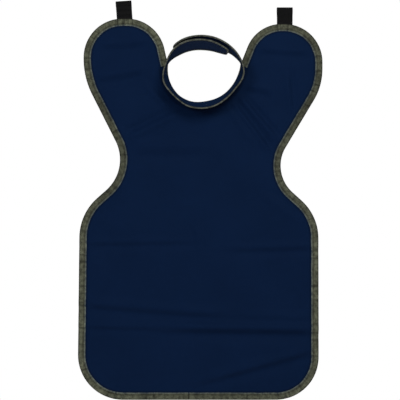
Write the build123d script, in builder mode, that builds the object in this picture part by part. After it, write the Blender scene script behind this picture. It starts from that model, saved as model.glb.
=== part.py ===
from build123d import *
from math import radians, sin
import os

os.makedirs("parts", exist_ok=True)

# Dental lead apron with a standing thyroid collar, hanging from two webbing loops.
# Millimetres. X across, the front face looks towards -Y, +Z up.
# The origin is on the line between the two loop eyes, on the panel's centreline.

# Panel, as worn flat: 24 in wide and 37 in long
WING_TOP_LEFT = -26
WING_TOP_RIGHT = -39
HEM = -960
CORNER_LEFT = 110
CORNER_RIGHT = 105
SHOULDER_FOLD = -140
LAP_FOLD = -576
KNEE_FOLD = -768

# Layers: cover, protective sheet, cover
CORE = 1.8
COVER = 0.6
PANEL = CORE + 2 * COVER
TAPE = 0.6
TAPE_WIDTH = 18
COLLAR_TAPE = 10
TAPE_EDGE = 0.8
FOOT_TAPE = 5
BOUND = PANEL + 2 * TAPE

# Neck and collar: the ring's shape at the panel and at its free edge
NECK_X = 7
NECK_R = 91
COLLAR_FOOT = 1.5
COLLAR_RIM = 54
ARM_FOOT = 4
RIM_X = 8.6
RIM_Z = -165
RIM_A = 97
RIM_B = 85
ARM_RISE = 38
OUTER_SHIFT = 3
OUTER_LIFT = 8
INNER_END = 68
TAB_ROOT = -24
TAB_END = -66
FASTENER_TAPE = 25
HOOK = 1.4
PILE = 1.2

# Hanger loops, 1 1/2 in webbing
WEB_WIDTH = 38.1
WEB = 1.3
EYE = 8.5
LOOP_LEFT = (-184.5, WING_TOP_LEFT, 33.55, 4)
LOOP_RIGHT = (207.5, WING_TOP_RIGHT, 30.7, 0)
LOOP_GAP = 0.3
TAIL = 30


# Outline of the whole panel with its binding: corner, then the radius it is rounded to
CORNERS = (
    ((-104, WING_TOP_LEFT), 94),
    ((-285, WING_TOP_LEFT), 95),
    ((-285, -171), 195),
    ((-172, -395), 100),
    ((-295, -504), 130),
    ((-300, HEM), CORNER_LEFT),
    ((291, HEM), CORNER_RIGHT),
    ((290, -509), 125),
    ((173, -403), 88),
    ((300, -191), 150),
    ((300, WING_TOP_RIGHT), 94),
    ((139, WING_TOP_RIGHT), 90),
)
NECK_EDGE = NECK_R - 1.5
with BuildSketch() as outline:
    with BuildLine():
        neck = CenterArc((NECK_X, SHOULDER_FOLD), NECK_EDGE, 0, -180)
        Polyline(neck @ 1, *[point for point, radius in CORNERS], neck @ 0)
    make_face()
    for point, radius in CORNERS:
        fillet(vertices().sort_by_distance(point)[0], radius)
with BuildSketch() as panel_shape:
    add(outline.sketch)
    offset(amount=-TAPE_EDGE)
with BuildSketch() as inside_tape:
    add(outline.sketch)
    offset(amount=-TAPE_WIDTH)


def zone(shape, x_low, x_high, z_low, z_high):
    """Adds the share of a panel shape between two fold lines."""
    add(shape.sketch)
    with Locations(((x_low + x_high) / 2, (z_low + z_high) / 2)):
        Rectangle(x_high - x_low, z_high - z_low, mode=Mode.INTERSECT)


def save(piece, name):
    piece.part.label = name
    export_step(piece.part, f"parts/{name}.step")


def layers(name, box):
    """Front cover, protective sheet and back cover of one panel between folds."""
    stack = (
        ("front_cover", CORE / 2, COVER),
        ("core", -CORE / 2, CORE),
        ("back_cover", -PANEL / 2, COVER),
    )
    for layer, start, thickness in stack:
        with BuildPart() as sheet:
            with BuildSketch(Plane.XZ.offset(start)):
                zone(panel_shape, *box)
            extrude(amount=thickness)
        save(sheet, f"{name}_{layer}")


def binding(name, box):
    """Folded tape along the outer edge: two flat legs and the edge wall."""
    with BuildPart() as tape:
        with BuildSketch(Plane.XZ.offset(-BOUND / 2)):
            zone(outline, *box)
        extrude(amount=BOUND)
        with BuildSketch(Plane.XZ.offset(-BOUND / 2)):
            zone(inside_tape, *box)
        extrude(amount=BOUND, mode=Mode.SUBTRACT)
        with BuildSketch(Plane.XZ.offset(-PANEL / 2)):
            zone(panel_shape, *box)
        extrude(amount=PANEL, mode=Mode.SUBTRACT)
    save(tape, name)


CHEST = (-350, 350, LAP_FOLD, SHOULDER_FOLD)
LAP = (-350, 350, KNEE_FOLD, LAP_FOLD)
KNEE = (-350, 350, HEM - 20, KNEE_FOLD)
WING_LEFT = (-350, NECK_X, SHOULDER_FOLD, 20)
WING_RIGHT = (NECK_X, 350, SHOULDER_FOLD, 20)

layers("chest", CHEST)
layers("lap", LAP)
layers("knee", KNEE)
layers("wing_left", WING_LEFT)
layers("wing_right", WING_RIGHT)
binding("chest_binding_left", (-350, -150, LAP_FOLD, SHOULDER_FOLD))
binding("chest_binding_right", (150, 350, LAP_FOLD, SHOULDER_FOLD))
binding("lap_binding_left", (-350, 0, KNEE_FOLD, LAP_FOLD))
binding("lap_binding_right", (0, 350, KNEE_FOLD, LAP_FOLD))
binding("knee_binding", KNEE)
binding("wing_left_binding", WING_LEFT)
binding("wing_right_binding", WING_RIGHT)

# Neckline facing: covers the raw edge of the layers and lies flat on the back
with BuildPart() as neckline_facing:
    with BuildSketch(Plane.XZ.offset(-BOUND / 2)):
        with Locations((NECK_X, SHOULDER_FOLD)):
            Circle(NECK_R + 14)
            Circle(NECK_EDGE, mode=Mode.SUBTRACT)
        with Locations((NECK_X, SHOULDER_FOLD + 100)):
            Rectangle(300, 200, mode=Mode.SUBTRACT)
    extrude(amount=TAPE)
    with BuildSketch(Plane.XZ.offset(-PANEL / 2)):
        with Locations((NECK_X, SHOULDER_FOLD)):
            Circle(NECK_EDGE + TAPE_EDGE)
            Circle(NECK_EDGE, mode=Mode.SUBTRACT)
        with Locations((NECK_X, SHOULDER_FOLD + 100)):
            Rectangle(300, 200, mode=Mode.SUBTRACT)
    extrude(amount=PANEL)
save(neckline_facing, "neckline_facing")


def cone(rise, shift, lift, d, mode=Mode.ADD):
    """Solid inside the collar's wall at distance d outwards from its middle."""
    with BuildSketch(Plane.XZ.offset(COLLAR_FOOT)) as foot:
        with Locations((NECK_X - shift, SHOULDER_FOLD)):
            Ellipse(NECK_R + shift + d, rise + lift + d)
    with BuildSketch(Plane.XZ.offset(COLLAR_RIM + TAPE)) as rim:
        with Locations((RIM_X - shift, RIM_Z)):
            Ellipse(RIM_A + shift + d, RIM_B + lift + d)
    loft([foot.sketch.face(), rim.sketch.face()], mode=mode)


def wall(shape, d_low, d_high):
    cone(*shape, d_high)
    cone(*shape, d_low, mode=Mode.SUBTRACT)


def keep(x_low, x_high, y_near, y_far, z_low, z_high, corner=0, end=None):
    """Keeps what is in a box, with the free end's corners rounded."""
    with BuildSketch(Plane.XY.offset(z_low)) as plan:
        with Locations(((x_low + x_high) / 2, -(y_near + y_far) / 2)):
            Rectangle(x_high - x_low, y_near - y_far)
        if corner:
            fillet(vertices().group_by(Axis.X)[end], corner)
    extrude(plan.sketch, amount=z_high - z_low, mode=Mode.INTERSECT)


FRONT = (NECK_R, 0, 0)
INNER = (ARM_RISE, 0, 0)
OUTER = (ARM_RISE, OUTER_SHIFT, OUTER_LIFT)
BELOW = (-300, SHOULDER_FOLD)
ABOVE = (SHOULDER_FOLD, 0)
SKINS = (
    ("lining", -PANEL / 2, -CORE / 2),
    ("core", -CORE / 2, CORE / 2),
    ("cover", CORE / 2, PANEL / 2),
)

# Front half of the collar, sewn to the neckline
for layer, low, high in SKINS:
    with BuildPart() as skin:
        wall(FRONT, low, high)
        keep(-150, 150, COLLAR_RIM, COLLAR_FOOT, *BELOW)
    save(skin, f"collar_front_{layer}")
with BuildPart() as skin:
    wall(FRONT, -PANEL / 2, PANEL / 2)
    keep(-150, 150, COLLAR_RIM, COLLAR_FOOT, *BELOW)
with BuildPart() as tape:
    wall(FRONT, -BOUND / 2, BOUND / 2)
    keep(-150, 150, COLLAR_RIM + TAPE, COLLAR_RIM + TAPE - COLLAR_TAPE, *BELOW)
    add(skin.part, mode=Mode.SUBTRACT)
save(tape, "collar_front_binding")


def arm(name, shape, ends, free, window):
    """One arm of the collar: lining, core, cover and the tape round its free edges."""
    window_near, window_far = ARM_FOOT + FOOT_TAPE, COLLAR_RIM + TAPE - COLLAR_TAPE
    for layer, low, high in SKINS:
        with BuildPart() as skin:
            wall(shape, low, high)
            keep(*ends, COLLAR_RIM, ARM_FOOT, *ABOVE, *free)
        save(skin, f"{name}_{layer}")
    with BuildPart() as body:
        wall(shape, -PANEL / 2, PANEL / 2)
        keep(*ends, COLLAR_RIM, ARM_FOOT, *ABOVE, *free)
    with BuildPart() as tape:
        wall(shape, -BOUND / 2, BOUND / 2)
        grown = [x + (TAPE if x > 0 else -TAPE) if x in (INNER_END, TAB_END) else x for x in ends]
        keep(*grown, COLLAR_RIM + TAPE, ARM_FOOT - TAPE, *ABOVE, *free)
        add(body.part, mode=Mode.SUBTRACT)
        with BuildSketch(Plane.XY.offset(SHOULDER_FOLD)):
            with Locations(((window[0] + window[1]) / 2, -(window_far + window_near) / 2)):
                Rectangle(window[1] - window[0], window_far - window_near)
        extrude(amount=200, mode=Mode.SUBTRACT)
    for leg, part in zip(tape.solids().sort_by(Axis.Y), ("binding", "foot_binding")):
        leg.label = f"{name}_{part}"
        export_step(leg, f"parts/{name}_{part}.step")


arm("inner_arm", INNER, (-150, INNER_END), (12, -1), (-150, INNER_END + TAPE - COLLAR_TAPE))
arm("outer_arm", OUTER, (TAB_ROOT, 150), (0, None), (TAB_ROOT - 10, 150))
arm("closure_tab", OUTER, (TAB_END, TAB_ROOT), (12, 0), (TAB_END + COLLAR_TAPE - TAPE, TAB_ROOT + 10))

# Hook-and-pile fastener between the two arms
TAPE_LOW = COLLAR_RIM + TAPE - COLLAR_TAPE - 1.5
with BuildPart() as pile_tape:
    wall(INNER, PANEL / 2, PANEL / 2 + PILE)
    keep(-62, 12, TAPE_LOW, TAPE_LOW - FASTENER_TAPE, *ABOVE)
save(pile_tape, "pile_tape")
with BuildPart() as hook_tape:
    wall(OUTER, -PANEL / 2 - HOOK, -PANEL / 2)
    keep(TAB_END + COLLAR_TAPE, TAB_ROOT - 1, TAPE_LOW, TAPE_LOW - FASTENER_TAPE, *ABOVE)
save(hook_tape, "hook_tape")


def loop(name, x, z, height, tilt):
    """Webbing loop standing on the wing's top edge, and its tail sewn down the back."""
    foot = WEB + LOOP_GAP + WEB_WIDTH / 2 * sin(radians(tilt))
    side = Plane((x, 0, z), x_dir=(0, 1, 0), z_dir=(1, 0, 0)).rotated((0, -tilt, 0))
    with BuildPart() as web:
        with BuildSketch(side):
            with Locations((0, height)):
                Circle(EYE + WEB)
            with Locations((0, foot)):
                Circle(WEB)
            make_hull()
        extrude(amount=WEB_WIDTH / 2, both=True)
        with BuildSketch(side):
            with Locations((0, height)):
                Circle(EYE)
            with Locations((0, foot + 5)):
                Circle(0.3)
            make_hull()
        extrude(amount=WEB_WIDTH / 2, both=True, mode=Mode.SUBTRACT)
    save(web, f"{name}_loop")
    with BuildPart() as tail:
        with BuildSketch(Plane.XZ.offset(-BOUND / 2 - WEB)):
            with Locations((x, z - 1 - TAIL / 2)):
                Rectangle(WEB_WIDTH, TAIL)
        extrude(amount=WEB)
    save(tail, f"{name}_loop_tail")


loop("left", *LOOP_LEFT)
loop("right", *LOOP_RIGHT)
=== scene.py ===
import math

import bpy
import numpy as np
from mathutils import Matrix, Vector


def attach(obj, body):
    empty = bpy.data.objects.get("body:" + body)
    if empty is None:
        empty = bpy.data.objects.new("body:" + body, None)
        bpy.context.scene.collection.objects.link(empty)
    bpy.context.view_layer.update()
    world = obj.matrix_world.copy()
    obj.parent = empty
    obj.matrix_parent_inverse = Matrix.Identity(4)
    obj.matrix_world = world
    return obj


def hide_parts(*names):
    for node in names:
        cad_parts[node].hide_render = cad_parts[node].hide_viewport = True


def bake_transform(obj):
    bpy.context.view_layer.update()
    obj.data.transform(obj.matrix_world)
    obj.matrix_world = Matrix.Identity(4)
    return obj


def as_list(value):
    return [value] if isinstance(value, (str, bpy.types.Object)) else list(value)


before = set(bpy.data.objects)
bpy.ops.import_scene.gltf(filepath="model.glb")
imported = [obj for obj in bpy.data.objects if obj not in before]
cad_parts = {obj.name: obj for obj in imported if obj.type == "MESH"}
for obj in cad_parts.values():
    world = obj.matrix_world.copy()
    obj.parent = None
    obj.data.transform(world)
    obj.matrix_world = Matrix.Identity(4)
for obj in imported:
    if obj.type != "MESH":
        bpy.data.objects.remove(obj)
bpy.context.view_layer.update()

MM = 0.001
TAU = 2 * math.pi

# ------------------------ shape of the cut
# corners of the edge from the collar's left end round to its right end, and their radii (mm)
CORNERS = (
    (((-104, -26), 94), ((-285, -26), 95), ((-285, -171), 195), ((-172, -395), 100))
    + (((-295, -504), 130), ((-300, -960), 110), ((291, -960), 105), ((290, -509), 125))
    + (((173, -403), 88), ((300, -191), 150), ((300, -39), 94), ((139, -39), 90))
)
NECK = np.array((7.0, -140.0)) * MM
NECK_R = 0.0895  # the panel is flat from here inwards
TAPE_WIDTH = 0.018
# heights at which the sheets are cut, where both sides move together
CUT_WING, CUT_LAP, CUT_KNEE = -0.200, -0.500, -0.672
HALF = 0.0015  # half the panel's thickness
TAPE_THICK, COLLAR_TAPE_THICK = 0.0006, 0.0004
NECK_INSET = 0.0018  # of the cloth's raw edge, inside the collar's seam
STITCH_AT, SHORT_STITCH_AT = 0.875, 0.44  # shares of the tape's width, on its long and short leg
STITCH_LIFT = 0.62  # of a tape's thickness, where the thread has drawn it down
LOOP_SPOTS = np.array(((-184.5, -40), (207.5, -53))) * MM  # flat here as well


def rounded_path(start, corners, end, step):
    """Points along a polyline whose corners are rounded, about step apart."""
    knots = [np.array(start, float)]
    knots += [np.array(p, float) * MM for p, r in corners]
    knots.append(np.array(end, float))
    radii = [0] + [r * MM for p, r in corners] + [0]
    out = [knots[0]]
    for i in range(1, len(knots) - 1):
        a, b, c = knots[i - 1], knots[i], knots[i + 1]
        u, v = (a - b) / np.linalg.norm(a - b), (c - b) / np.linalg.norm(c - b)
        half = math.acos(np.clip(u @ v, -1, 1)) / 2
        reach = radii[i] / math.tan(half)
        p, q = b + u * reach, b + v * reach
        centre = b + (u + v) / np.linalg.norm(u + v) * radii[i] / math.sin(half)
        a0 = math.atan2(*(p - centre)[::-1])
        turn = (math.atan2(*(q - centre)[::-1]) - a0 + math.pi) % TAU - math.pi
        n = max(3, int(abs(turn) * radii[i] / step))
        out += [
            centre + radii[i] * np.array((math.cos(a0 + turn * k / n), math.sin(a0 + turn * k / n)))
            for k in range(n + 1)
        ]
    out.append(knots[-1])
    return resample(np.array(out), step)


def along(path):
    return np.concatenate([[0], np.cumsum(np.linalg.norm(np.diff(path, axis=0), axis=1))])


def resample(path, step):
    s = along(path)
    at = np.linspace(0, s[-1], max(3, int(s[-1] / step)))
    return np.stack([np.interp(at, s, path[:, k]) for k in range(path.shape[1])], axis=1)


def profile(knots, soften=7):
    """A smooth closed curve through (degrees, value) knots, as a function of radians."""
    degrees = np.arange(-360, 720)
    table = np.interp(degrees, *zip(*knots), period=360)
    kernel = np.exp(-0.5 * (np.arange(-30, 31) / soften) ** 2)
    table = np.convolve(table, kernel / kernel.sum(), mode="same")[360:720]
    return lambda angle: np.interp(np.degrees(angle), np.arange(360), table, period=360)


# how far the collar's foot strays from a plain ellipse, as it stands open
FOOT_SHAPE = profile(
    ((0, 1.035), (20, 1.01), (47, 0.90), (60, 0.87), (76, 0.915), (90, 0.945), (104, 0.965))
    + ((120, 0.92), (136, 0.88), (156, 0.905), (180, 0.955), (204, 1.005), (232, 1.055))
    + ((252, 1.045), (276, 0.985), (300, 0.980), (324, 0.975), (346, 0.995)),
    5,
)


def neck_curve(angle, grow=0.0):
    """The neckline in the panel's plane, from its centre."""
    r = 0.091 * FOOT_SHAPE(angle) + grow
    return NECK + np.stack([r * np.cos(angle), r * np.sin(angle)], axis=1)


ring_angles = np.linspace(0, -math.pi, 95)
NECK_EDGE = neck_curve(ring_angles, -NECK_INSET)
LEFT_NECK, RIGHT_NECK = NECK_EDGE[-1], NECK_EDGE[0]
EDGE = rounded_path(LEFT_NECK, CORNERS, RIGHT_NECK, 0.003)
OUTLINE = np.concatenate([EDGE, NECK_EDGE[1:-1]])


def inside(points, polygon):
    """Even-odd test of many points against a closed polygon."""
    hit = np.zeros(len(points), bool)
    x, y = points[:, 0], points[:, 1]
    for (x0, y0), (x1, y1) in zip(polygon, np.roll(polygon, -1, axis=0)):
        if y0 == y1:
            continue
        cross = (y0 > y) != (y1 > y)
        hit ^= cross & (x < (x1 - x0) * (y - y0) / (y1 - y0) + x0)
    return hit


def nearest(points, polyline, closed=True):
    """Distance to a polyline and the nearest point on it, for many points."""
    a = polyline
    b = np.roll(polyline, -1, axis=0) if closed else polyline[1:]
    a = a if closed else a[:-1]
    best = np.full(len(points), 1e9)
    spot = np.zeros_like(points)
    d = b - a
    length2 = np.maximum((d * d).sum(axis=1), 1e-18)
    for part in range(0, len(points), 4000):
        p = points[part : part + 4000]
        t = np.clip(((p[:, None] - a) * d).sum(axis=2) / length2, 0, 1)
        q = a + t[..., None] * d
        far = np.linalg.norm(p[:, None] - q, axis=2)
        k = far.argmin(axis=1)
        rows = np.arange(len(p))
        best[part : part + 4000] = far[rows, k]
        spot[part : part + 4000] = q[rows, k]
    return best, spot


# ------------------------ how the cloth hangs
def smooth(x):
    x = np.clip(x, 0, 1)
    return x * x * (3 - 2 * x)


def ripple(p, seed, count, long, short):
    """Slow, uneven waves with no clear direction."""
    r = np.random.default_rng(seed)
    out = np.zeros(len(p))
    for _ in range(count):
        angle, phase = r.uniform(0, math.pi), r.uniform(0, TAU)
        wave = r.uniform(short, long)
        out += np.sin((p @ (math.cos(angle), math.sin(angle))) * TAU / wave + phase) / count
    return out


def pleat(p, a, b, width, depth, start=0.2, end=0.2):
    """A step along the line from a to b: its own face leans, its flanks lean back."""
    a, b = np.array(a) * MM, np.array(b) * MM
    d = b - a
    t = ((p - a) @ d) / (d @ d)
    off = (p - a) @ np.array((-d[1], d[0])) / np.linalg.norm(d) / (width * MM)
    fade = smooth(t / max(start, 1e-3)) * smooth((1 - t) / max(end, 1e-3))
    return depth * MM * off * np.exp(-off * off) * fade


# Creases left from folding and rolling: ends, width and depth, fades at both ends
PLEATS = (
    ((-330, -726), (120, -761), 15, 9.9, 0.05, 0.3),
    ((60, -758), (330, -765), 13, 5.3, 0.3, 0.05),
    ((-180, -788), (340, -795), 16.5, 16.1, 0.4, 0.05),
    ((-330, -782), (-60, -787), 9, 5.9, 0.05, 0.4),
    ((-60, -938), (300, -838), 14.5, 10.8, 0.4, 0.1),
    ((20, -595), (330, -587), 11, 7.1, 0.4, 0.05),
    ((-330, -580), (40, -574), 10, 6.2, 0.05, 0.4),
    ((-180, -351), (60, -350), 19.4, 6.9, 0.2, 0.4),
    ((66, -205), (182, -358), 9, -9.9, 0.2, 0.2),
    ((88, -198), (200, -328), 8, -8.5, 0.3, 0.2),
    ((58, -222), (150, -344), 9, -5.9, 0.3, 0.3),
    ((-46, -246), (-190, -316), 12, 9, 0.2, 0.2),
    ((-270, -182), (-118, -154), 16, 9.7, 0.2, 0.3),
    ((-264, -96), (-112, -86), 14, 7.4, 0.3, 0.3),
    ((-140, -172), (-70, -244), 10.5, -6.2, 0.3, 0.3),
    ((118, -104), (288, -114), 12.5, 6.9, 0.3, 0.3),
    ((92, -192), (185, -212), 12, 6.9, 0.3, 0.3),
    ((218, -140), (228, -270), 10, -5.3, 0.3, 0.3),
    ((-265, -520), (-170, -420), 13.5, 4.6, 0.3, 0.3),
    ((265, -530), (150, -440), 13.5, 4.6, 0.3, 0.3),
    ((-20, -520), (-4, -600), 9, 3.2, 0.4, 0.4),
)


def hang(p):
    """How far back the cloth's middle lies, at points across the panel."""
    y = 0.0024 * ripple(p, 3, 7, 0.75, 0.32) + 0.0015 * ripple(p, 8, 9, 0.20, 0.09)
    y += 0.00028 * ripple(p, 11, 12, 0.07, 0.03)
    flatter = 0.4 + 0.6 * smooth((nearest(p, OUTLINE[::4])[0] - 0.006) / 0.05)
    for line in PLEATS:
        y -= flatter * pleat(p, *line)
    calm = smooth((np.linalg.norm(p - NECK, axis=1) - NECK_R) / 0.05)
    y = y * (0.15 + 0.85 * calm)
    for spot in LOOP_SPOTS:
        y = y * smooth((np.linalg.norm(p - spot, axis=1) - 0.024) / 0.05)
    return y


def padding(far):
    """Half the sheet's thickness: thinned into its tape, fuller away from it."""
    return np.minimum(HALF, 0.0003 + 0.4 * far) + 0.0009 * smooth((far - 0.015) / 0.03)


def panel_map(p, d):
    """Flat point and height off the middle, to the hanging panel."""
    return np.stack([p[:, 0], hang(p) - d, p[:, 1]], axis=1)


# ------------------------ meshes
def link(name, data):
    """A new object in the scene."""
    obj = bpy.data.objects.new(name, data)
    bpy.context.scene.collection.objects.link(obj)
    return obj


def build(name, verts, faces, uv, normals=None, hard=()):
    """A mesh object from numpy arrays; uv is given per vertex."""
    mesh = bpy.data.meshes.new(name)
    mesh.from_pydata(verts.tolist(), [], faces)
    mesh.update()
    layer = mesh.uv_layers.new(name="flat")
    index = np.empty(len(mesh.loops), np.int32)
    mesh.loops.foreach_get("vertex_index", index)
    layer.data.foreach_set("uv", uv[index].astype(np.float32).ravel())
    flags = np.ones(len(mesh.polygons), bool)
    flags[list(hard)] = False
    mesh.polygons.foreach_set("use_smooth", flags)
    if normals is not None:
        own = np.empty(len(mesh.polygons) * 3, np.float32)
        mesh.polygons.foreach_get("normal", own)
        own = own.reshape(-1, 3)
        loops = normals[index].copy()
        for k in hard:
            poly = mesh.polygons[k]
            loops[poly.loop_start : poly.loop_start + poly.loop_total] = own[k]
        mesh.normals_split_custom_set(loops.tolist())
    return link(name, mesh)


def cell_edges(quads):
    return np.concatenate([quads[:, [k, (k + 1) % 4]] for k in range(4)])


def grid_cells(polygon, step):
    """Square cells inside a polygon, their rim moved onto it: points and quads."""
    low = np.floor(polygon.min(axis=0) / step) * step - step
    high = polygon.max(axis=0) + step
    n = np.ceil((high - low) / step).astype(int) + 1
    gx, gy = np.meshgrid(np.arange(n[0]), np.arange(n[1]), indexing="ij")
    points = np.stack([gx.ravel(), gy.ravel()], axis=1) * step + low
    cells = np.array([(i * n[1] + j) for i in range(n[0] - 1) for j in range(n[1] - 1)])
    quads = np.stack([cells, cells + n[1], cells + n[1] + 1, cells + 1], axis=1)
    quads = quads[inside(points[quads].mean(axis=1), polygon)]
    used, index = np.unique(quads, return_inverse=True)
    points, quads = points[used], index.reshape(-1, 4)
    edge, count = np.unique(np.sort(cell_edges(quads), axis=1), axis=0, return_counts=True)
    rim = np.unique(edge[count == 1])
    points[rim] = nearest(points[rim], polygon)[1]
    return points, quads


def face_normals(points, quads):
    a, b, c, d = (points[quads[:, k]] for k in range(4))
    return np.cross(c - a, d - b)


def vertex_normals(points, quads):
    n = np.zeros_like(points)
    f = face_normals(points, quads)
    for k in range(4):
        np.add.at(n, quads[:, k], f)
    return n / np.maximum(np.linalg.norm(n, axis=1, keepdims=True), 1e-12)


def shade(obj, values, name="seam_distance"):
    """Stores a number for each vertex: how far it is from the seam, or how much painted shade it
    gets.
    """
    layer = obj.data.attributes.new(name, "FLOAT", "POINT")
    layer.data.foreach_set("value", np.asarray(values, np.float32))


def slab(points, quads, half, place, parts, seam_distance=None):
    """Two-faced cloth over flat cells, cut into named parts with matching shading.

    half is the half thickness at each point, place maps flat point and height to 3-D,
    and parts gives for each name the mask of its cells."""
    front, back = place(points, half), place(points, -half)
    up, down = vertex_normals(front, quads), -vertex_normals(back, quads)
    made = {}
    for name, mask in parts.items():
        q = quads[mask]
        used, index = np.unique(q, return_inverse=True)
        q = index.reshape(-1, 4)
        n = len(used)
        edges = cell_edges(q)
        key = np.sort(edges, axis=1)
        _, first, count = np.unique(key, axis=0, return_index=True, return_counts=True)
        rim = edges[first[count == 1]]
        faces = q.tolist() + (q[:, ::-1] + n).tolist()
        walls = [[b, a, a + n, b + n] for a, b in rim.tolist()]
        hard = range(len(faces), len(faces) + len(walls))
        made[name] = build(
            name,
            np.concatenate([front[used], back[used]]),
            faces + walls,
            np.concatenate([points[used], points[used]]),
            np.concatenate([up[used], down[used]]),
            hard,
        )
        if seam_distance is not None:
            shade(made[name], np.tile(seam_distance[used], 2))
    return made


def offset_frame(path):
    """Unit inward normals (to the left of travel) and the length along a 2-D path."""
    tangent = np.gradient(path, axis=0)
    tangent /= np.maximum(np.linalg.norm(tangent, axis=1, keepdims=True), 1e-12)
    return np.stack([-tangent[:, 1], tangent[:, 0]], axis=1), along(path)


# a tape's leg from its selvedge, over the stitch groove, to the fold: (share of the width from
# the edge, lift in thicknesses); FOLD is the fold itself: (millimetres in, share of the height)
LEG = (
    ((1.0, 0.00), (1.0, 0.60), (0.985, 0.95), (0.955, 1.08), (0.915, 0.98), (0.885, 0.62))
    + ((0.865, 0.60), (0.835, 0.98), (0.76, 1.38), (0.60, 1.55), (0.45, 1.60), (0.30, 1.52))
    + ((0.20, 1.30),)
)
SHORT_LEG = tuple((0.5 * share, lift) for share, lift in LEG)
FOLD = ((2.3, 1.0), (1.3, 0.92), (0.6, 0.72), (0.15, 0.38), (0.0, 0.0))


def tape(
    path, place, width, cuts, front=LEG, back=LEG, thick=TAPE_THICK, seed=1, half=HALF, painted_shade=1
):
    """Folded tape over an edge: {name: object}. path runs with the cloth on its left,
    width is the tape's leg at each station, and cuts gives the first and last station
    of each named part. A leg is (share of the width from the edge, lift in thicknesses)."""
    inward, s = offset_frame(path)
    width, light = np.broadcast_to(width, len(path)), np.broadcast_to(painted_shade, len(path))
    knots = np.arange(0, s[-1] + 0.03, 0.017)
    waver = np.interp(s, knots, np.random.default_rng(seed).normal(size=len(knots)))
    section = [(a, 0, 1, k) for a, k in front]
    section += [(0, a, k, 0.9) for a, k in FOLD]
    section += [(0, a, -k, 0.9) for a, k in FOLD[-2::-1]]
    section += [(a, 0, -1, k) for a, k in reversed(back)]
    section += [(0.45, 0, -0.9, 0), (0.45, 0, 0.9, 0)]
    rows = []
    for share, fold, side, k in section:
        depth = width * share + fold * MM * np.minimum(1, width / 0.008)
        depth = depth + 0.00025 * waver * (share > 0.8)
        fat = k * thick * (1 + 0.10 * waver * (share > 0.25))
        rows.append(place(path + inward * depth[:, None], side * (half + fat)))
    verts = np.stack(rows, axis=1)
    n, m = verts.shape[:2]
    across = np.linalg.norm(np.diff(verts, axis=1), axis=2).cumsum(axis=1)
    uv = np.zeros((n, m, 2))
    uv[:, :, 0] = s[:, None]
    uv[:, 1:, 1] = across
    inset = np.array([share if fold == 0 else 0.04 for share, fold, *_ in section])

    def strip(count):
        g = np.arange(count * m).reshape(count, m)
        r = np.roll(g, -1, axis=1)
        return np.stack([g[:-1], r[:-1], r[1:], g[1:]], axis=-1).reshape(-1, 4), g

    normals = vertex_normals(verts.reshape(-1, 3), strip(n)[0]).reshape(n, m, 3)
    made = {}
    for name, (i, j) in cuts.items():
        quads, g = strip(j + 1 - i)
        made[name] = build(
            name,
            verts[i : j + 1].reshape(-1, 3),
            quads.tolist() + [g[0][::-1].tolist(), g[-1].tolist()],
            uv[i : j + 1].reshape(-1, 2),
            normals[i : j + 1].reshape(-1, 3),
            (len(quads), len(quads) + 1),
        )
        shade(made[name], np.tile(inset, j + 1 - i))
        shade(made[name], np.repeat(light[i : j + 1], m), "painted_shade")
    return made


def stitches(name, stations, tangents, out, length=0.0026, radius=0.00026):
    """A run of short threads lying on the cloth."""
    ring = 6
    # shares of the length, and how full the thread is there
    spans = ((-0.5, 0.2), (-0.36, 0.85), (0.0, 1.0), (0.36, 0.85), (0.5, 0.2))
    verts, faces, uv = [], [], []
    for p, t, n in zip(stations, tangents, out):
        b = np.cross(t, n)
        base = len(verts)
        for along_t, fat in spans:
            sink = radius * (0.35 if abs(along_t) < 0.4 else -0.5)
            for k in range(ring):
                angle = TAU * k / ring
                up = sink + radius * fat * math.cos(angle)
                across = radius * fat * math.sin(angle)
                verts.append(p + t * along_t * length + n * up + b * across)
                uv.append((along_t * length, k / ring * 0.001))
        for j in range(len(spans) - 1):
            for k in range(ring):
                a, c = base + j * ring + k, base + j * ring + (k + 1) % ring
                faces.append((a, c, c + ring, a + ring))
        faces.append(tuple(base + k for k in reversed(range(ring))))
        faces.append(tuple(base + (len(spans) - 1) * ring + k for k in range(ring)))
    return build(name, np.array(verts), faces, np.array(uv))


def seam(name, path, place, lift_at, pitch=0.0037):
    """Stitches along a flat path at a height off the cloth's middle."""
    s = along(path)
    at = np.arange(pitch / 2, s[-1], pitch)
    flat = np.stack([np.interp(at, s, path[:, k]) for k in (0, 1)], axis=1)
    ahead = np.stack([np.interp(at + 0.0005, s, path[:, k]) for k in (0, 1)], axis=1)
    side = np.stack([-(ahead - flat)[:, 1], (ahead - flat)[:, 0]], axis=1)
    side /= np.maximum(np.linalg.norm(side, axis=1, keepdims=True), 1e-12)
    lift = lift_at(flat)
    p, q, w = place(flat, lift), place(ahead, lift), place(flat + side * 0.0005, lift)
    t = q - p
    t /= np.maximum(np.linalg.norm(t, axis=1, keepdims=True), 1e-12)
    n = np.cross(w - p, t)
    n /= np.maximum(np.linalg.norm(n, axis=1, keepdims=True), 1e-12)
    n *= np.sign(((place(flat, lift * 1.2) - p) * n).sum(axis=1, keepdims=True))
    return stitches(name, p, t, n)


# ------------------------ materials
def material(name, colour, rough, spec=0.1, sheen=0.0):
    m = bpy.data.materials.new(name)
    m.use_nodes = True
    inputs = m.node_tree.nodes["Principled BSDF"].inputs
    inputs["Base Color"].default_value = (*colour, 1)
    inputs["Roughness"].default_value = rough
    inputs["Specular IOR Level"].default_value = spec
    inputs["Sheen Weight"].default_value = sheen
    inputs["Sheen Roughness"].default_value = 0.5
    return m


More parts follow.
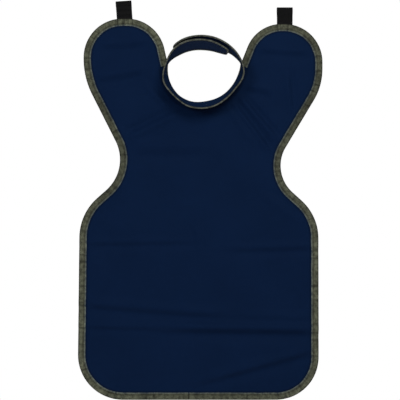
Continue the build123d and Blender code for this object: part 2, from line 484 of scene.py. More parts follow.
class Graph:
    """Short names for the few shader nodes the cloths share."""

    def __init__(self, m):
        self.nodes, self.links = m.node_tree.nodes, m.node_tree.links
        self.shader = self.nodes["Principled BSDF"]
        self.uv = self.add("ShaderNodeUVMap", uv_map="flat").outputs[0]

    def add(self, kind, **fields):
        node = self.nodes.new(kind)
        for key, value in fields.items():
            setattr(node, key, value)
        return node

    def put(self, socket, value):
        if isinstance(value, bpy.types.NodeSocket):
            self.links.new(value, socket)
        else:
            socket.default_value = value

    def math(self, operation, a, b=0.0, c=0.0):
        node = self.add("ShaderNodeMath", operation=operation)
        for socket, value in zip(node.inputs, (a, b, c)):
            self.put(socket, value)
        return node.outputs[0]

    def product(self, first, *others):
        for other in others:
            first = self.math("MULTIPLY", first, other)
        return first

    def out(self, name, value):
        self.links.new(value, self.shader.inputs[name])

    def noise(self, scale, detail=2.0, rough=0.5, stretch=(1, 1, 1)):
        mapping = self.add("ShaderNodeMapping")
        mapping.inputs["Scale"].default_value = stretch
        self.put(mapping.inputs["Vector"], self.uv)
        node = self.add("ShaderNodeTexNoise")
        self.put(node.inputs["Vector"], mapping.outputs[0])
        node.inputs["Scale"].default_value = scale
        node.inputs["Detail"].default_value = detail
        node.inputs["Roughness"].default_value = rough
        return node.outputs[0]

    def axes(self):
        node = self.add("ShaderNodeSeparateXYZ")
        self.put(node.inputs[0], self.uv)
        return node.outputs[0], node.outputs[1]

    def wave(self, value, pitch):
        return self.math("SINE", self.math("MULTIPLY", value, TAU / pitch))

    def attribute(self, name):
        return self.add("ShaderNodeAttribute", attribute_name=name).outputs["Fac"]

    def ramp(self, value, a, b, low, high):
        """low up to a, high from b, eased between."""
        node = self.add("ShaderNodeMapRange", interpolation_type="SMOOTHSTEP")
        for key, x in (("Value", value), ("From Min", a), ("From Max", b)):
            self.put(node.inputs[key], x)
        node.inputs["To Min"].default_value = low
        node.inputs["To Max"].default_value = high
        return node.outputs[0]

    def spread(self, value, low, high):
        """A 0 to 1 value stretched to low..high."""
        return self.math("MULTIPLY_ADD", value, high - low, low)

    def tint(self, colour, factor):
        """The colour made lighter and darker by a factor."""
        node = self.add("ShaderNodeVectorMath", operation="SCALE")
        node.inputs[0].default_value = colour
        self.put(node.inputs["Scale"], factor)
        return node.outputs[0]

    def bump(self, height, distance, strength=1.0, below=None):
        node = self.add("ShaderNodeBump")
        node.inputs["Strength"].default_value = strength
        node.inputs["Distance"].default_value = distance
        self.put(node.inputs["Height"], height)
        if below is not None:
            self.links.new(below, node.inputs["Normal"])
        return node.outputs[0]


def weave(g, x, y, pitch):
    """Plain weave: warp and weft swap height over every thread."""
    over = g.product(g.wave(x, pitch * 2), g.wave(y, pitch * 2))
    return g.math("ADD", over, g.math("MULTIPLY", g.math("ABSOLUTE", over), -0.4))


def coated_cloth(name, colour, rough):
    m = material(name, colour, rough, 0.04)
    g = Graph(m)
    g.shader.inputs["Specular Tint"].default_value = (0.3, 0.55, 1.0, 1)
    x, y = g.axes()
    patches = g.noise(7.0, 3.0, 0.55)
    worn = g.noise(60.0, 4.0, 0.6)
    grain = g.noise(900.0, 2.0, 0.5)
    patchy = g.product(g.spread(patches, 0.86, 1.16), g.spread(worn, 0.92, 1.08))
    # painted shade: the cloth darkened within 7 mm of the tape's edge
    near = g.ramp(g.attribute("seam_distance"), 0.0, 0.007, 0.62, 1.0)
    factor = g.product(patchy, g.spread(grain, 0.88, 1.12), near)
    g.out("Base Color", g.tint(colour, factor))
    g.out("Roughness", g.spread(worn, rough - 0.10, rough + 0.10))
    slow = g.bump(g.noise(14.0, 3.0, 0.5), 0.004, 0.35)
    crush = g.bump(g.noise(70.0, 3.0, 0.6), 0.0006, 0.35, slow)
    g.out("Normal", g.bump(weave(g, x, y, 0.00055), 0.00006, 0.5, crush))
    return m


def ribbed_tape(name, colour, rough, marks=()):
    """Folded edge tape. marks gives (length along it, darkness) of the lines across it."""
    m = material(name, colour, rough, 0.10, 0.03)
    g = Graph(m)
    x, y = g.axes()
    ribs = g.wave(x, 0.0011)
    threads = g.wave(y, 0.0005)
    streaks = g.noise(260.0, 3.0, 0.6, (0.35, 1.5, 1))
    blotch = g.ramp(g.noise(110.0, 3.0, 0.6), 0.34, 0.66, 0.62, 1.38)
    slow = g.ramp(g.noise(22.0, 2.0, 0.5), 0.3, 0.7, 0.84, 1.16)
    # painted shade in the puckers' creases, following the same noise as their bump
    fold_shade = g.ramp(g.noise(105.0, 1.0, 0.4, (1, 0.10, 1)), 0.54, 0.66, 1.0, 0.60)
    share = g.attribute("seam_distance")
    # painted highlight: the tape's inner edge is made lighter
    inner = g.ramp(share, 0.80, 0.88, 1.0, 1.22)
    # painted shade: a darker band on the tape inside its stitch line
    groove = g.math("ABSOLUTE", g.math("SUBTRACT", share, 0.71))
    groove = g.ramp(groove, 0.04, 0.15, 0.62, 1.0)
    # painted shade: the folded edge is darkened as it turns away from the light
    outer = g.ramp(share, 0.03, 0.14, 0.55, 1.0)
    ribbed = g.math("MULTIPLY_ADD", ribs, 0.07, 1.0)
    # painted shade: each stretch of the tape darkened by its own factor
    painted_shade = g.attribute("painted_shade")
    factor = g.product(g.spread(streaks, 0.66, 1.34), blotch, ribbed, fold_shade, slow)
    factor = g.product(factor, inner, outer, groove, painted_shade)
    for at, dark in marks:
        gap = g.math("ABSOLUTE", g.math("SUBTRACT", x, at))
        factor = g.product(factor, g.ramp(gap, 0.0006, 0.0022, dark, 1.0))
    # painted highlight: the inner edge also gets a cooler, bluer tint
    selvedge = g.product(g.ramp(share, 0.80, 0.88, 0.0, 1.0), painted_shade)
    cooler = g.add("ShaderNodeVectorMath", operation="ADD")
    g.put(cooler.inputs[0], g.tint(colour, factor))
    g.put(cooler.inputs[1], g.tint((-0.006, 0.002, 0.022), selvedge))
    g.out("Base Color", cooler.outputs[0])
    g.out("Roughness", g.spread(streaks, rough - 0.08, rough + 0.08))
    puckers = g.bump(g.noise(105.0, 1.0, 0.4, (1, 0.10, 1)), 0.0018, 0.7)
    height = g.math("ADD", ribs, g.math("MULTIPLY", threads, 0.25))
    g.out("Normal", g.bump(height, 0.00012, 0.7, puckers))
    return m


def edge_length(x, z):
    """How far along the edge the point nearest (x, z) in millimetres lies."""
    return along(EDGE)[np.linalg.norm(EDGE - np.array((x, z)) * MM, axis=1).argmin()]


# the tape's two joins, and where the hanger loops' selvedges press through it
MARKS = (
    (edge_length(-27, -960), 0.30),
    (edge_length(217, -39), 0.40),
    (edge_length(-203, -26), 0.38),
    (edge_length(-165, -26), 0.42),
    (edge_length(189, -39), 0.45),
)


def webbing(name, colour, rough):
    m = material(name, colour, rough, 0.12, 0.02)
    g = Graph(m)
    x, y = g.axes()
    twill = g.math("ADD", g.math("ABSOLUTE", g.math("PINGPONG", x, 0.0064)), y)
    ribs = g.wave(twill, 0.0016)
    fuzz = g.noise(700.0, 3.0, 0.6)
    factor = g.product(g.spread(fuzz, 0.6, 1.4), g.math("MULTIPLY_ADD", ribs, 0.18, 1.0))
    g.out("Base Color", g.tint(colour, factor))
    g.out("Roughness", g.spread(fuzz, rough - 0.1, rough + 0.1))
    cross = g.product(g.wave(x, 0.0009), g.wave(y, 0.0011))
    g.out("Normal", g.bump(g.math("MULTIPLY_ADD", cross, 0.4, ribs), 0.00025, 0.8))
    return m


def nap(name, colour, rough, pitch):
    """Hook or loop tape: a field of small tufts."""
    m = material(name, colour, rough, 0.05, 0.03)
    g = Graph(m)
    x, y = g.axes()
    dots = g.product(g.wave(x, pitch), g.wave(y, pitch))
    fuzz = g.noise(1500.0, 3.0, 0.7)
    factor = g.product(g.spread(fuzz, 0.5, 1.5), g.math("MULTIPLY_ADD", dots, 0.3, 1.0))
    g.out("Base Color", g.tint(colour, factor))
    g.out("Normal", g.bump(g.math("MULTIPLY_ADD", fuzz, 0.8, dots), 0.0003, 0.5))
    return m


def thread(name, colour):
    m = material(name, colour, 0.5, 0.12, 0.03)
    g = Graph(m)
    x, _ = g.axes()
    g.out("Normal", g.bump(g.wave(x, 0.0006), 0.00004, 0.6))
    grain = g.noise(2000.0, 2.0, 0.5)
    g.out("Base Color", g.tint(colour, g.spread(grain, 0.8, 1.2)))
    return m


NAVY = coated_cloth("navy_coated_cloth", (0.0023, 0.0076, 0.0260), 0.62)
# painted light: the collar's cloth is a lighter copy of the navy, for the light it catches
LIT_LINING = coated_cloth("navy_lining_painted_lighter", (0.0035, 0.0120, 0.0385), 0.66)
OLIVE = ribbed_tape("olive_edge_tape", (0.0665, 0.0700, 0.0465), 0.62, MARKS)
# painted light: the collar tape is a lighter copy of the edge tape's olive, for the light its rims
# catch
LIT_COLLAR_OLIVE = ribbed_tape("olive_collar_tape_painted_lighter", (0.115, 0.122, 0.098), 0.60)
BLACK = webbing("black_webbing", (0.0027, 0.0027, 0.0029), 0.6)
PILE = nap("black_pile", (0.0065, 0.0065, 0.0070), 0.9, 0.0009)
HOOKS = nap("black_hooks", (0.0055, 0.0055, 0.0060), 0.6, 0.0014)
OLIVE_THREAD = thread("olive_thread", (0.050, 0.055, 0.036))
BLACK_THREAD = thread("black_thread", (0.010, 0.010, 0.011))


def finish_piece(obj, mat, nodes=()):
    obj.data.materials.append(mat)
    if nodes:
        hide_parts(*nodes)
    return obj


# ------------------------ the panel
cells, quads = grid_cells(OUTLINE, 0.004)
far, _ = nearest(cells, OUTLINE)
middle = cells[quads].mean(axis=1)
high = middle[:, 1]
PARTS = {
    "wing_left": (high > CUT_WING) & (middle[:, 0] < NECK[0]),
    "wing_right": (high > CUT_WING) & (middle[:, 0] > NECK[0]),
    "chest": (high < CUT_WING) & (high > CUT_LAP),
    "lap": (high < CUT_LAP) & (high > CUT_KNEE),
    "knee": high < CUT_KNEE,
}
# the bodies that a part lies between, and the heights where a blend between them would start and
# end; no blend is made
BENDS = {
    "wing_left": ("torso", "wing_left", -0.175, -0.105),
    "wing_right": ("torso", "wing_right", -0.175, -0.105),
    "chest": None,
    "lap": ("torso", "lap", -0.541, -0.611),
    "knee": ("lap", "knee", -0.733, -0.803),
}


def settle(obj, part):
    """Rides on the torso; a part that crosses two bodies is only baked in place."""
    bend = BENDS[part]
    if bend is None:
        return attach(obj, "torso")
    a, b, start, end = bend
    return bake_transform(obj)


sheets = slab(cells, quads, padding(far), panel_map, PARTS, far - TAPE_WIDTH)
STATIONS = EDGE[:, 1]


def station(z, low, high):
    """The station between two fractions of the edge where its height is nearest z."""
    i, j = int(low * len(EDGE)), int(high * len(EDGE))
    return i + int(np.abs(STATIONS[i:j] - z).argmin())


left_wing = station(CUT_WING, 0.10, 0.30)
left_lap = station(CUT_LAP, 0.20, 0.50)
left_knee = station(CUT_KNEE, 0.25, 0.50)
right_knee = station(CUT_KNEE, 0.50, 0.75)
right_lap = station(CUT_LAP, 0.50, 0.85)
right_wing = station(CUT_WING, 0.60, 0.95)
CUTS = {
    "tape_wing_left": (0, left_wing),
    "tape_chest_left": (left_wing, left_lap),
    "tape_lap_left": (left_lap, left_knee),
    "tape_knee": (left_knee, right_knee),
    "tape_lap_right": (right_knee, right_lap),
    "tape_chest_right": (right_lap, right_wing),
    "tape_wing_right": (right_wing, len(EDGE) - 1),
}
# painted shade on the tape: how light each stretch looks, darker where the stretch catches less
# light, one round value for each stretch
PAINTED_TAPE_SHADE = (
    (0.1, 1.0),  # metres along the edge, factor: top of the left wing
    (0.45, 0.65),  # its side
    (0.7, 0.7),  # left waist
    (1.0, 1.0),  # left side
    (1.5, 0.75),  # hem
    (2.1, 0.95),  # right side
    (2.45, 0.6),  # right waist
    (2.7, 0.8),  # right wing
)
tapes = tape(EDGE, panel_map, TAPE_WIDTH, CUTS, painted_shade=np.interp(along(EDGE), *zip(*PAINTED_TAPE_SHADE)))
inward, _ = offset_frame(EDGE)
extras = {part: [] for part in PARTS}
TAPE_OF = {
    "tape_wing_left": ("wing_left", "wing_left_binding"),
    "tape_chest_left": ("chest", "chest_binding_left"),
    "tape_lap_left": ("lap", "lap_binding_left"),
    "tape_knee": ("knee", "knee_binding"),
    "tape_lap_right": ("lap", "lap_binding_right"),
    "tape_chest_right": ("chest", "chest_binding_right"),
    "tape_wing_right": ("wing_right", "wing_right_binding"),
}
for name, (part, node) in TAPE_OF.items():
    i, j = CUTS[name]
    obj = finish_piece(tapes[name], OLIVE, (node,))
    extras[part].append(settle(obj, part))
    line = EDGE[i : j + 1] + inward[i : j + 1] * TAPE_WIDTH * STITCH_AT
    for side, lift in (("front", 1), ("back", -1)):
        run = seam(
            f"{name}_stitches_{side}",
            line,
            panel_map,
            lambda p, lift=lift: np.full(len(p), lift * (HALF + STITCH_LIFT * TAPE_THICK)),
        )
        finish_piece(run, OLIVE_THREAD)
        extras[part].append(settle(run, part))

# neckline facing, turned to the back under the collar's seam
facing = tape(
    NECK_EDGE,
    panel_map,
    0.0145,
    {"neck_facing": (0, len(NECK_EDGE) - 1)},
    front=((0.19, 0.0), (0.19, 0.6), (0.17, 0.8)),
)["neck_facing"]
finish_piece(facing, OLIVE, ("neckline_facing",))
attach(facing, "torso")
extras["chest"].append(facing)
for side, inset, lift in (("inner", 0.0030, 1.1), ("outer", 0.0126, STITCH_LIFT)):
    path = neck_curve(ring_angles, inset - NECK_INSET)
    run = seam(
        f"neck_facing_stitches_{side}",
        path,
        panel_map,
        lambda p, lift=lift: np.full(len(p), -(HALF + lift * TAPE_THICK)),
    )
    finish_piece(run, OLIVE_THREAD)
    extras["chest"].append(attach(run, "torso"))

for part, obj in sheets.items():
    layers = [f"{part}_{layer}" for layer in ("front_cover", "core", "back_cover")]
    finish_piece(obj, NAVY, layers)
    settle(obj, part)

# ------------------------ the collar
# The wall is laid out flat: length round the neck at the radius RING, and height up its slant.
RING = 0.092
SLANT = 0.0567
RIM = SLANT
FOOT = 0.0004
ARM_FOOT = 0.0027
WIDE = 0.0085  # the collar tape's long leg
THIN = 0.0012  # half the collar's thickness
COLLAR_STEP = 0.003  # size of its cells
BACK_L, BACK_R = math.radians(195) * RING, math.radians(345) * RING  # ends of its front half
TURN = math.radians(360) * RING

# how far its rim strays from one
RIM_FRONT = (
    ((166, 0.965), (178, 0.99), (189, 1.03), (199, 1.03), (212, 0.977), (232, 0.98))
    + ((248, 1.03), (262, 1.015), (276, 1.005), (290, 0.97), (304, 0.92), (322, 0.90))
    + ((331, 0.893), (349, 0.975))
)
RIM_INNER = profile(
    ((0, 1.01), (14, 0.965), (34, 0.89), (60, 0.885), (78, 0.925), (98, 0.955))
    + ((120, 1.005), (136, 1.01), (146, 0.995), (155, 0.97))
    + RIM_FRONT
)
RIM_OUTER = profile(
    ((0, 1.01), (14, 0.995), (42, 1.0), (61, 1.02), (79, 1.05), (97, 1.065))
    + ((117, 1.09), (137, 1.07), (150, 1.03))
    + RIM_FRONT
)


def collar_map(rim_shape, lift=0.0):
    """The standing wall: flat (round the neck, foot to rim) and height to 3-D.

    lift stands the foot of the arm outside the other, fading in above the panel."""

    def middle(u, v):
        angle, t = u / RING, v / SLANT
        c, s = np.cos(angle), np.sin(angle)
        above = s > 0
        f = FOOT_SHAPE(angle)
        stand = lift * smooth((s - 0.3) / 0.5)
        foot_x = 7 + 91 * f * c + stand * c * 0.4
        foot_z = -140 + np.where(above, 38, 91) * f * s + stand
        g = rim_shape(angle)
        rim_x, rim_z = 8.6 + 97 * g * c, -165 + 85 * g * s
        y = -1.5 - 53.1 * t + 0.9 * np.sin(2 * angle + 1.0) * t
        bow = 1.2 * np.sin(math.pi * np.clip(t, 0, 1))
        x = foot_x + (rim_x - foot_x) * t + bow * c
        z = foot_z + (rim_z - foot_z) * t + bow * s
        return np.stack([x, y, z], axis=1) * MM

    def place(p, d):
        u, v, h = p[:, 0], p[:, 1], 0.0006
        along_u = middle(u + h, v) - middle(u - h, v)
        along_v = middle(u, v + h) - middle(u, v - h)
        normal = np.cross(along_u, along_v)
        normal /= np.linalg.norm(normal, axis=1, keepdims=True)
        return middle(u, v) + normal * np.reshape(d, (-1, 1))

    return place


FRONT_MAP = INNER_MAP = collar_map(RIM_INNER)
OUTER_MAP = collar_map(RIM_OUTER, 7.0)


def arc(a, b, v):
    n = max(3, int(abs(b - a) / COLLAR_STEP))
    return np.stack([np.linspace(a, b, n), np.full(n, v)], axis=1)


def collar_cloth(obj, part):
    layers = [f"{part}_{layer}" for layer in ("lining", "core", "cover")]
    return finish_piece(obj, LIT_LINING, layers)


def collar_binding(obj, node):
    return finish_piece(obj, LIT_COLLAR_OLIVE, (node,))


# front half: sewn to the neckline, taped along its rim
front_poly = np.concatenate([arc(BACK_L, BACK_R, FOOT), arc(BACK_R, BACK_L, RIM - 0.0012)])
pts, q = grid_cells(front_poly, COLLAR_STEP)
rim_far = np.minimum(RIM - pts[:, 1], pts[:, 1] + 0.004)
ring_front = slab(
    pts,
    q,
    padding(np.maximum(rim_far, 0)) * THIN / HALF,
    FRONT_MAP,
    {"collar_front": np.ones(len(q), bool)},
    RIM - WIDE - pts[:, 1],
)
collar_front = collar_cloth(ring_front["collar_front"], "collar_front")
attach(collar_front, "torso")
rim_path = arc(BACK_R, BACK_L, RIM)
front_tape = tape(
    rim_path,
    FRONT_MAP,
    WIDE,
    {"collar_front_tape": (0, len(rim_path) - 1)},
    back=SHORT_LEG,
    thick=COLLAR_TAPE_THICK,
    seed=5,
    half=THIN,
)
collar_front_tape = collar_binding(front_tape["collar_front_tape"], "collar_front_binding")
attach(collar_front_tape, "torso")


# arms: inner from the left, outer from the right with the closure tab on its end
def band_of(place, path_edge, sheet_parts, tape_parts, seed, foot=0.005):
    """An arm's sheet, its tape, and the line, normals and widths that its stitches follow.

    path_edge is rim, free end and foot, cloth on its left; sheet_parts gives (name, low, high)
    in length round the neck, tape_parts the stations of each name, foot the foot tape's leg."""
    normal, _ = offset_frame(path_edge)
    cloth = path_edge + normal * 0.0010
    pts, q = grid_cells(np.concatenate([cloth, np.array([cloth[-1], cloth[0]])]), COLLAR_STEP)
    edge_far, _ = nearest(pts, path_edge, closed=False)
    mid = pts[q].mean(axis=1)[:, 0]
    cut = {part: (mid > low) & (mid < high) for part, low, high in sheet_parts}
    sheet = slab(pts, q, padding(edge_far) * THIN / HALF, place, cut, edge_far - foot)
    wide = np.where(path_edge[:, 1] > 0.5 * SLANT, WIDE, foot)
    blur = np.exp(-0.5 * (np.arange(-3, 4) / 1.4) ** 2)
    wide = np.convolve(np.pad(wide, 3, mode="edge"), blur / blur.sum(), mode="valid")
    taped = tape(
        path_edge, place, wide, tape_parts, LEG, SHORT_LEG, COLLAR_TAPE_THICK, seed, THIN
    )
    return sheet, taped, (path_edge, normal, wide)


def arm_path(start, end, corner):
    """Rim from start to the free end, round it, and back along the foot to start."""
    knots = [(start, RIM), (end, RIM), (end, ARM_FOOT), (start, ARM_FOOT)]
    middle = [((x / MM, y / MM), corner[k]) for k, (x, y) in enumerate(knots[1:3])]
    return rounded_path(knots[0], middle, knots[3], COLLAR_STEP)


# where the arms start and end round the neck, and where the tab's crease is
IN_BASE, IN_END = BACK_L, math.radians(45) * RING
OUT_BASE, OUT_END = BACK_R - TURN, math.radians(137) * RING
TAB_AT = math.radians(98) * RING

inner_path = arm_path(IN_BASE, IN_END, (12, 9))
sheet, taped, inner_line = band_of(
    INNER_MAP,
    inner_path,
    [("inner_arm", -9, 9)],
    {"inner_arm_tape": (0, len(inner_path) - 1)},
    7,
)
inner_arm = collar_cloth(sheet["inner_arm"], "inner_arm")
inner_tape = collar_binding(taped["inner_arm_tape"], "inner_arm_binding")


def stitch_line(name, path, normal, wide, place, side):
    """The stitches of a collar tape, on the cover (side 1) or the lining (side -1)."""
    line = path + normal * (wide * (STITCH_AT if side > 0 else SHORT_STITCH_AT))[:, None]
    lift = side * (THIN + STITCH_LIFT * COLLAR_TAPE_THICK)
    run = seam(name, line, place, lambda q: np.full(len(q), lift))
    return finish_piece(run, OLIVE_THREAD)


inner_runs = [
    stitch_line("inner_arm_stitches_cover", *inner_line, INNER_MAP, 1),
    stitch_line("inner_arm_stitches_lining", *inner_line, INNER_MAP, -1),
]

# run the other way, so that the cloth stays on its left; it passes the tab's crease twice
outer_path = arm_path(OUT_BASE, OUT_END, (12, 12))[::-1]
past = outer_path[:, 0] - TAB_AT
split = [k for k in range(1, len(outer_path)) if past[k - 1] * past[k] <= 0]
sheet, taped, outer_line = band_of(
    OUTER_MAP,
    outer_path,
    [("outer_arm", -9, TAB_AT), ("closure_tab", TAB_AT, 9)],
    {
        "outer_arm_tape_foot": (0, split[0]),
        "closure_tab_tape": (split[0], split[1]),
        "outer_arm_tape_rim": (split[1], len(outer_path) - 1),
    },
    9,
)
outer_arm = collar_cloth(sheet["outer_arm"], "outer_arm")
closure_tab = collar_cloth(sheet["closure_tab"], "closure_tab")
outer_rim = collar_binding(taped["outer_arm_tape_rim"], "outer_arm_binding")
outer_foot = collar_binding(taped["outer_arm_tape_foot"], "outer_arm_foot_binding")
tab_tape = collar_binding(taped["closure_tab_tape"], "closure_tab_binding")

outer_runs, tab_runs = [], []
for side, word in ((1, "cover"), (-1, "lining")):
    for name, (i, j), runs in (
        ("outer_arm_foot", (0, split[0]), outer_runs),
        ("closure_tab", (split[0], split[1]), tab_runs),
        ("outer_arm_rim", (split[1], len(outer_path) - 1), outer_runs),
    ):
        part = [values[i : j + 1] for values in outer_line]
        runs.append(stitch_line(f"{name}_stitches_{word}", *part, OUTER_MAP, side))
front_runs = []
rim_normal, _ = offset_frame(rim_path)
for side, word in ((1, "cover"), (-1, "lining")):
    part = (rim_path, rim_normal, np.full(len(rim_path), WIDE))
    run = stitch_line(f"collar_front_stitches_{word}", *part, FRONT_MAP, side)
    front_runs.append(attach(run, "torso"))


def patch(name, place, degrees, near, far_edge, base, thick, corner=2):
    """A rectangle of hook or pile lying on a wall, between two angles round the neck."""
    low, high = (math.radians(angle) * RING for angle in degrees)
    side = 1 if base > 0 else -1
    corners = ((high, near), (high, far_edge), (low, far_edge), (low, near))
    outline = rounded_path(
        (low + 0.004, near),
        [((x / MM, y / MM), corner) for x, y in corners],
        (low + 0.0045, near),
        0.0015,
    )
    pts, q = grid_cells(outline, 0.0025)
    rim, _ = nearest(pts, outline)
    half = np.minimum(thick / 2, 0.0002 + 0.5 * rim)
    middle_lift = base + side * thick / 2
    cut = {name: np.ones(len(q), bool)}
    return slab(pts, q, half, lambda p, d: place(p, middle_lift + d), cut)[name]


pile = patch("pile_tape_nap", INNER_MAP, (88, 139), 0.0175, 0.0440, THIN, 0.0012)
finish_piece(pile, PILE, ("pile_tape",))
hooks = patch("hook_tape_nap", OUTER_MAP, (109, 136.2), 0.0175, 0.0545, -THIN - 0.0006, 0.0014)
finish_piece(hooks, HOOKS, ("hook_tape",))

# the arms, with their tapes, fasteners and stitches, are baked in place; no bend is set up at their
# roots
for obj in (inner_arm, inner_tape, pile, *inner_runs):
    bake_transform(obj)
for obj in (outer_arm, outer_rim, outer_foot, *outer_runs):
    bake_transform(obj)
for obj in (closure_tab, tab_tape, hooks, *tab_runs):
    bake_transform(obj)

# ------------------------ hanger loops
WEB, WEB_WIDTH, EYE = 0.0013, 0.0381, 0.0085


def strip(name, path, place_at, width, thick, step=0.0016):
    """Webbing along a path in the loop's side plane (back, up): selvedges slightly thin."""
    path = resample(path, step)
    tangent = np.gradient(path, axis=0)
    tangent /= np.linalg.norm(tangent, axis=1, keepdims=True)
    normal = np.stack([-tangent[:, 1], tangent[:, 0]], axis=1)
    s = along(path)
    shares = np.array([-1, -0.985, -0.95, -0.9, -0.7, -0.4, 0, 0.4, 0.7, 0.9, 0.95, 0.985, 1])
    half = thick / 2 * np.array([0.35, 0.75, 1.05, 0.95, 1, 1, 1, 1, 1, 0.95, 1.05, 0.75, 0.35])
    wobble = 1 + 0.006 * np.sin(s * 130 + 1.0) + 0.004 * np.sin(s * 57)
    rows, uv = [], []
    for side in (1, -1):
        for k in range(len(shares))[::side]:
            point = path + normal * (side * half[k])
            across = shares[k] * width / 2 * wobble
            rows.append(place_at(point, across))
            uv.append(np.stack([s, across + (0.05 if side < 0 else 0)], axis=1))
    verts, uv = np.stack(rows, axis=1), np.stack(uv, axis=1)
    n, m = verts.shape[:2]
    g = np.arange(n * m).reshape(n, m)
    r = np.roll(g, -1, axis=1)
    faces = np.stack([g[:-1], g[1:], r[1:], r[:-1]], axis=-1).reshape(-1, 4)
    ends = [g[0].tolist(), g[-1][::-1].tolist()]
    hard = (len(faces), len(faces) + 1)
    normals = vertex_normals(verts.reshape(-1, 3), faces)
    verts, uv = verts.reshape(-1, 3), uv.reshape(-1, 2)
    return build(name, verts, faces.tolist() + ends, uv, normals, hard)


def side_plane(x, z, tilt):
    """A loop's side plane, (back, up) and across, leaning sideways by tilt degrees."""
    lean = math.radians(tilt)

    def place(point, across):
        up, over = point[:, 1], across
        return np.stack(
            [
                x + over * math.cos(lean) - up * math.sin(lean),
                point[:, 0],
                z + up * math.cos(lean) + over * math.sin(lean),
            ],
            axis=1,
        )

    return place


def backwards(p, d):
    """Flat point and height off the panel's plane, without its ripples: flat by the loops."""
    return np.stack([p[:, 0], -d, p[:, 1]], axis=1)


def hanger(side, x, z, height, tilt):
    """A hanger loop, its tail on the back of the wing and the box stitch through the tail."""
    body, wing = f"{side}_loop", f"wing_{side}"
    place = side_plane(x * MM, z * MM, tilt)
    top, r = height * MM, EYE + WEB / 2
    turn = np.linspace(-0.15, math.pi + 0.15, 26)
    eye = np.stack([-r * np.cos(turn), top + r * np.sin(turn)], axis=1)
    foot = -0.0022
    front = np.array([(-0.0009, foot), (-0.0012, 0.002), (-0.0021, 0.008), (-0.0045, 0.0186)])
    back = np.array([(0.0045, 0.018), (0.0021, 0.008), (0.0019, 0.001), (0.0026, foot - 0.001)])
    knots = np.concatenate([front, eye, back])
    s = along(knots)
    fine = np.linspace(0, s[-1], 200)
    smooth_path = np.stack([np.interp(fine, s, knots[:, k]) for k in (0, 1)], axis=1)
    for _ in range(14):
        smooth_path[1:-1] = (smooth_path[:-2] + 2 * smooth_path[1:-1] + smooth_path[2:]) / 4
    loop_obj = strip(f"{body}_webbing", smooth_path, place, WEB_WIDTH, WEB)
    finish_piece(loop_obj, BLACK, (body,))
    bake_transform(loop_obj)
    flat = side_plane(x * MM, z * MM, 0)
    tail_path = np.array([(0.0026, -0.0008), (0.00275, -0.006), (0.00275, -0.0312)])
    tail = strip(f"{body}_tail_webbing", tail_path, flat, WEB_WIDTH, WEB)
    finish_piece(tail, BLACK, (f"{body}_tail",))
    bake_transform(tail)
    w, low, high_z = WEB_WIDTH / 2 - 0.003, -0.0285, -0.0045
    box = [(-w, low), (w, low), (w, high_z), (-w, high_z), (-w, low), (w, high_z)]
    box += [(-w, high_z), (w, low)]
    line = resample(np.array(box) + (x * MM, z * MM), 0.0008)
    run = seam(f"{body}_box_stitch", line, backwards, lambda p: np.full(len(p), -0.0034))
    finish_piece(run, BLACK_THREAD)
    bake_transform(run)
    return loop_obj, [tail, run], s[-1]


left_loop, left_sewn, left_length = hanger("left", -184.5, -26, 33.55, 4)
right_loop, right_sewn, right_length = hanger("right", 207.5, -39, 30.7, 0)


# ------------------------ flat size of each cloth, computed and not used
def flat_size(obj):
    """Width, length and area of one face of a cloth, from its flat coordinates."""
    mesh = obj.data
    uv = np.empty(len(mesh.loops) * 2, np.float32)
    mesh.uv_layers["flat"].data.foreach_get("uv", uv)
    uv = uv.reshape(-1, 2)
    size = uv.max(axis=0) - uv.min(axis=0)
    area = 0.0
    for poly in mesh.polygons:
        loop = uv[poly.loop_start : poly.loop_start + poly.loop_total]
        x, y = loop[:, 0], loop[:, 1]
        area += abs(float(x @ np.roll(y, -1) - y @ np.roll(x, -1))) / 2
    return (float(size[0]), float(size[1])), area / 2


for part, obj in sheets.items():
    flat, area = flat_size(obj)
for obj, more in (
    (collar_front, [collar_front_tape, *front_runs]),
    (inner_arm, [inner_tape, pile, *inner_runs]),
    (outer_arm, [outer_rim, outer_foot, *outer_runs]),
    (closure_tab, [tab_tape, hooks, *tab_runs]),
):
    flat, area = flat_size(obj)
    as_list(more)

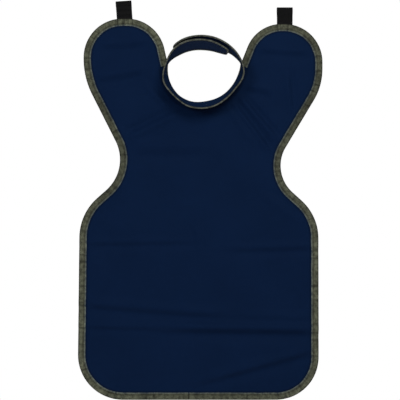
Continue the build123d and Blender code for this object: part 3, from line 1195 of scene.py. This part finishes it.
# ------------------------ floor, light, camera
floor = bpy.data.meshes.new("studio_floor")
reach, drop = 3.0, -1.6
floor.from_pydata(
    [(-reach, -reach, drop), (reach, -reach, drop), (reach, reach, drop), (-reach, reach, drop)],
    [],
    [(0, 1, 2, 3)],
)
floor_obj = link("studio_floor", floor)
floor.materials.append(material("studio_pale", (0.80, 0.80, 0.80), 0.8))

world = bpy.data.worlds.new("studio")
bpy.context.scene.world = world
world.use_nodes = True
wn, wl = world.node_tree.nodes, world.node_tree.links
background = wn["Background"]
seen = wn.new("ShaderNodeBackground")
seen.inputs["Color"].default_value = (1, 1, 1, 1)
seen.inputs["Strength"].default_value = 1.0
background.inputs["Color"].default_value = (0.94, 0.97, 1.0, 1)
mix = wn.new("ShaderNodeMixShader")
path_node = wn.new("ShaderNodeLightPath")
soft = wn.new("ShaderNodeMath")
soft.operation = "MULTIPLY_ADD"
soft.inputs[1].default_value, soft.inputs[2].default_value = 0.25, 0.03
wl.new(path_node.outputs["Is Diffuse Ray"], soft.inputs[0])
wl.new(soft.outputs[0], background.inputs["Strength"])
wl.new(path_node.outputs["Is Camera Ray"], mix.inputs[0])
wl.new(background.outputs[0], mix.inputs[1])
wl.new(seen.outputs[0], mix.inputs[2])
wl.new(mix.outputs[0], wn["World Output"].inputs["Surface"])


def lamp(name, place, aim, size, power):
    data = bpy.data.lights.new(name, "AREA")
    data.shape = "RECTANGLE"
    data.size, data.size_y = size
    data.energy = power
    obj = link(name, data)
    obj.location = place
    obj.rotation_euler = (Vector(aim) - Vector(place)).to_track_quat("-Z", "Y").to_euler()
    obj.visible_glossy = name == "key"


lamp("key", (0.85, -3.2, 1.25), (0, 0, -0.5), (1.5, 1.5), 90)
lamp("fill", (-1.3, -2.4, 0.35), (0.05, 0, -0.75), (0.8, 0.8), 36)
lamp("back_fill", (0.5, 3.0, 0.5), (0, 0, -0.5), (1.4, 1.4), 50)

camera = bpy.data.cameras.new("camera")
camera.lens, camera.sensor_width = 95, 36
camera_obj = link("camera", camera)
camera_obj.location = (0, -2.586, -0.4704)
camera_obj.rotation_euler = (math.radians(90), 0, 0)
bpy.context.scene.camera = camera_obj
bpy.context.scene.view_settings.view_transform = "Standard"
bpy.context.scene.view_settings.look = "None"
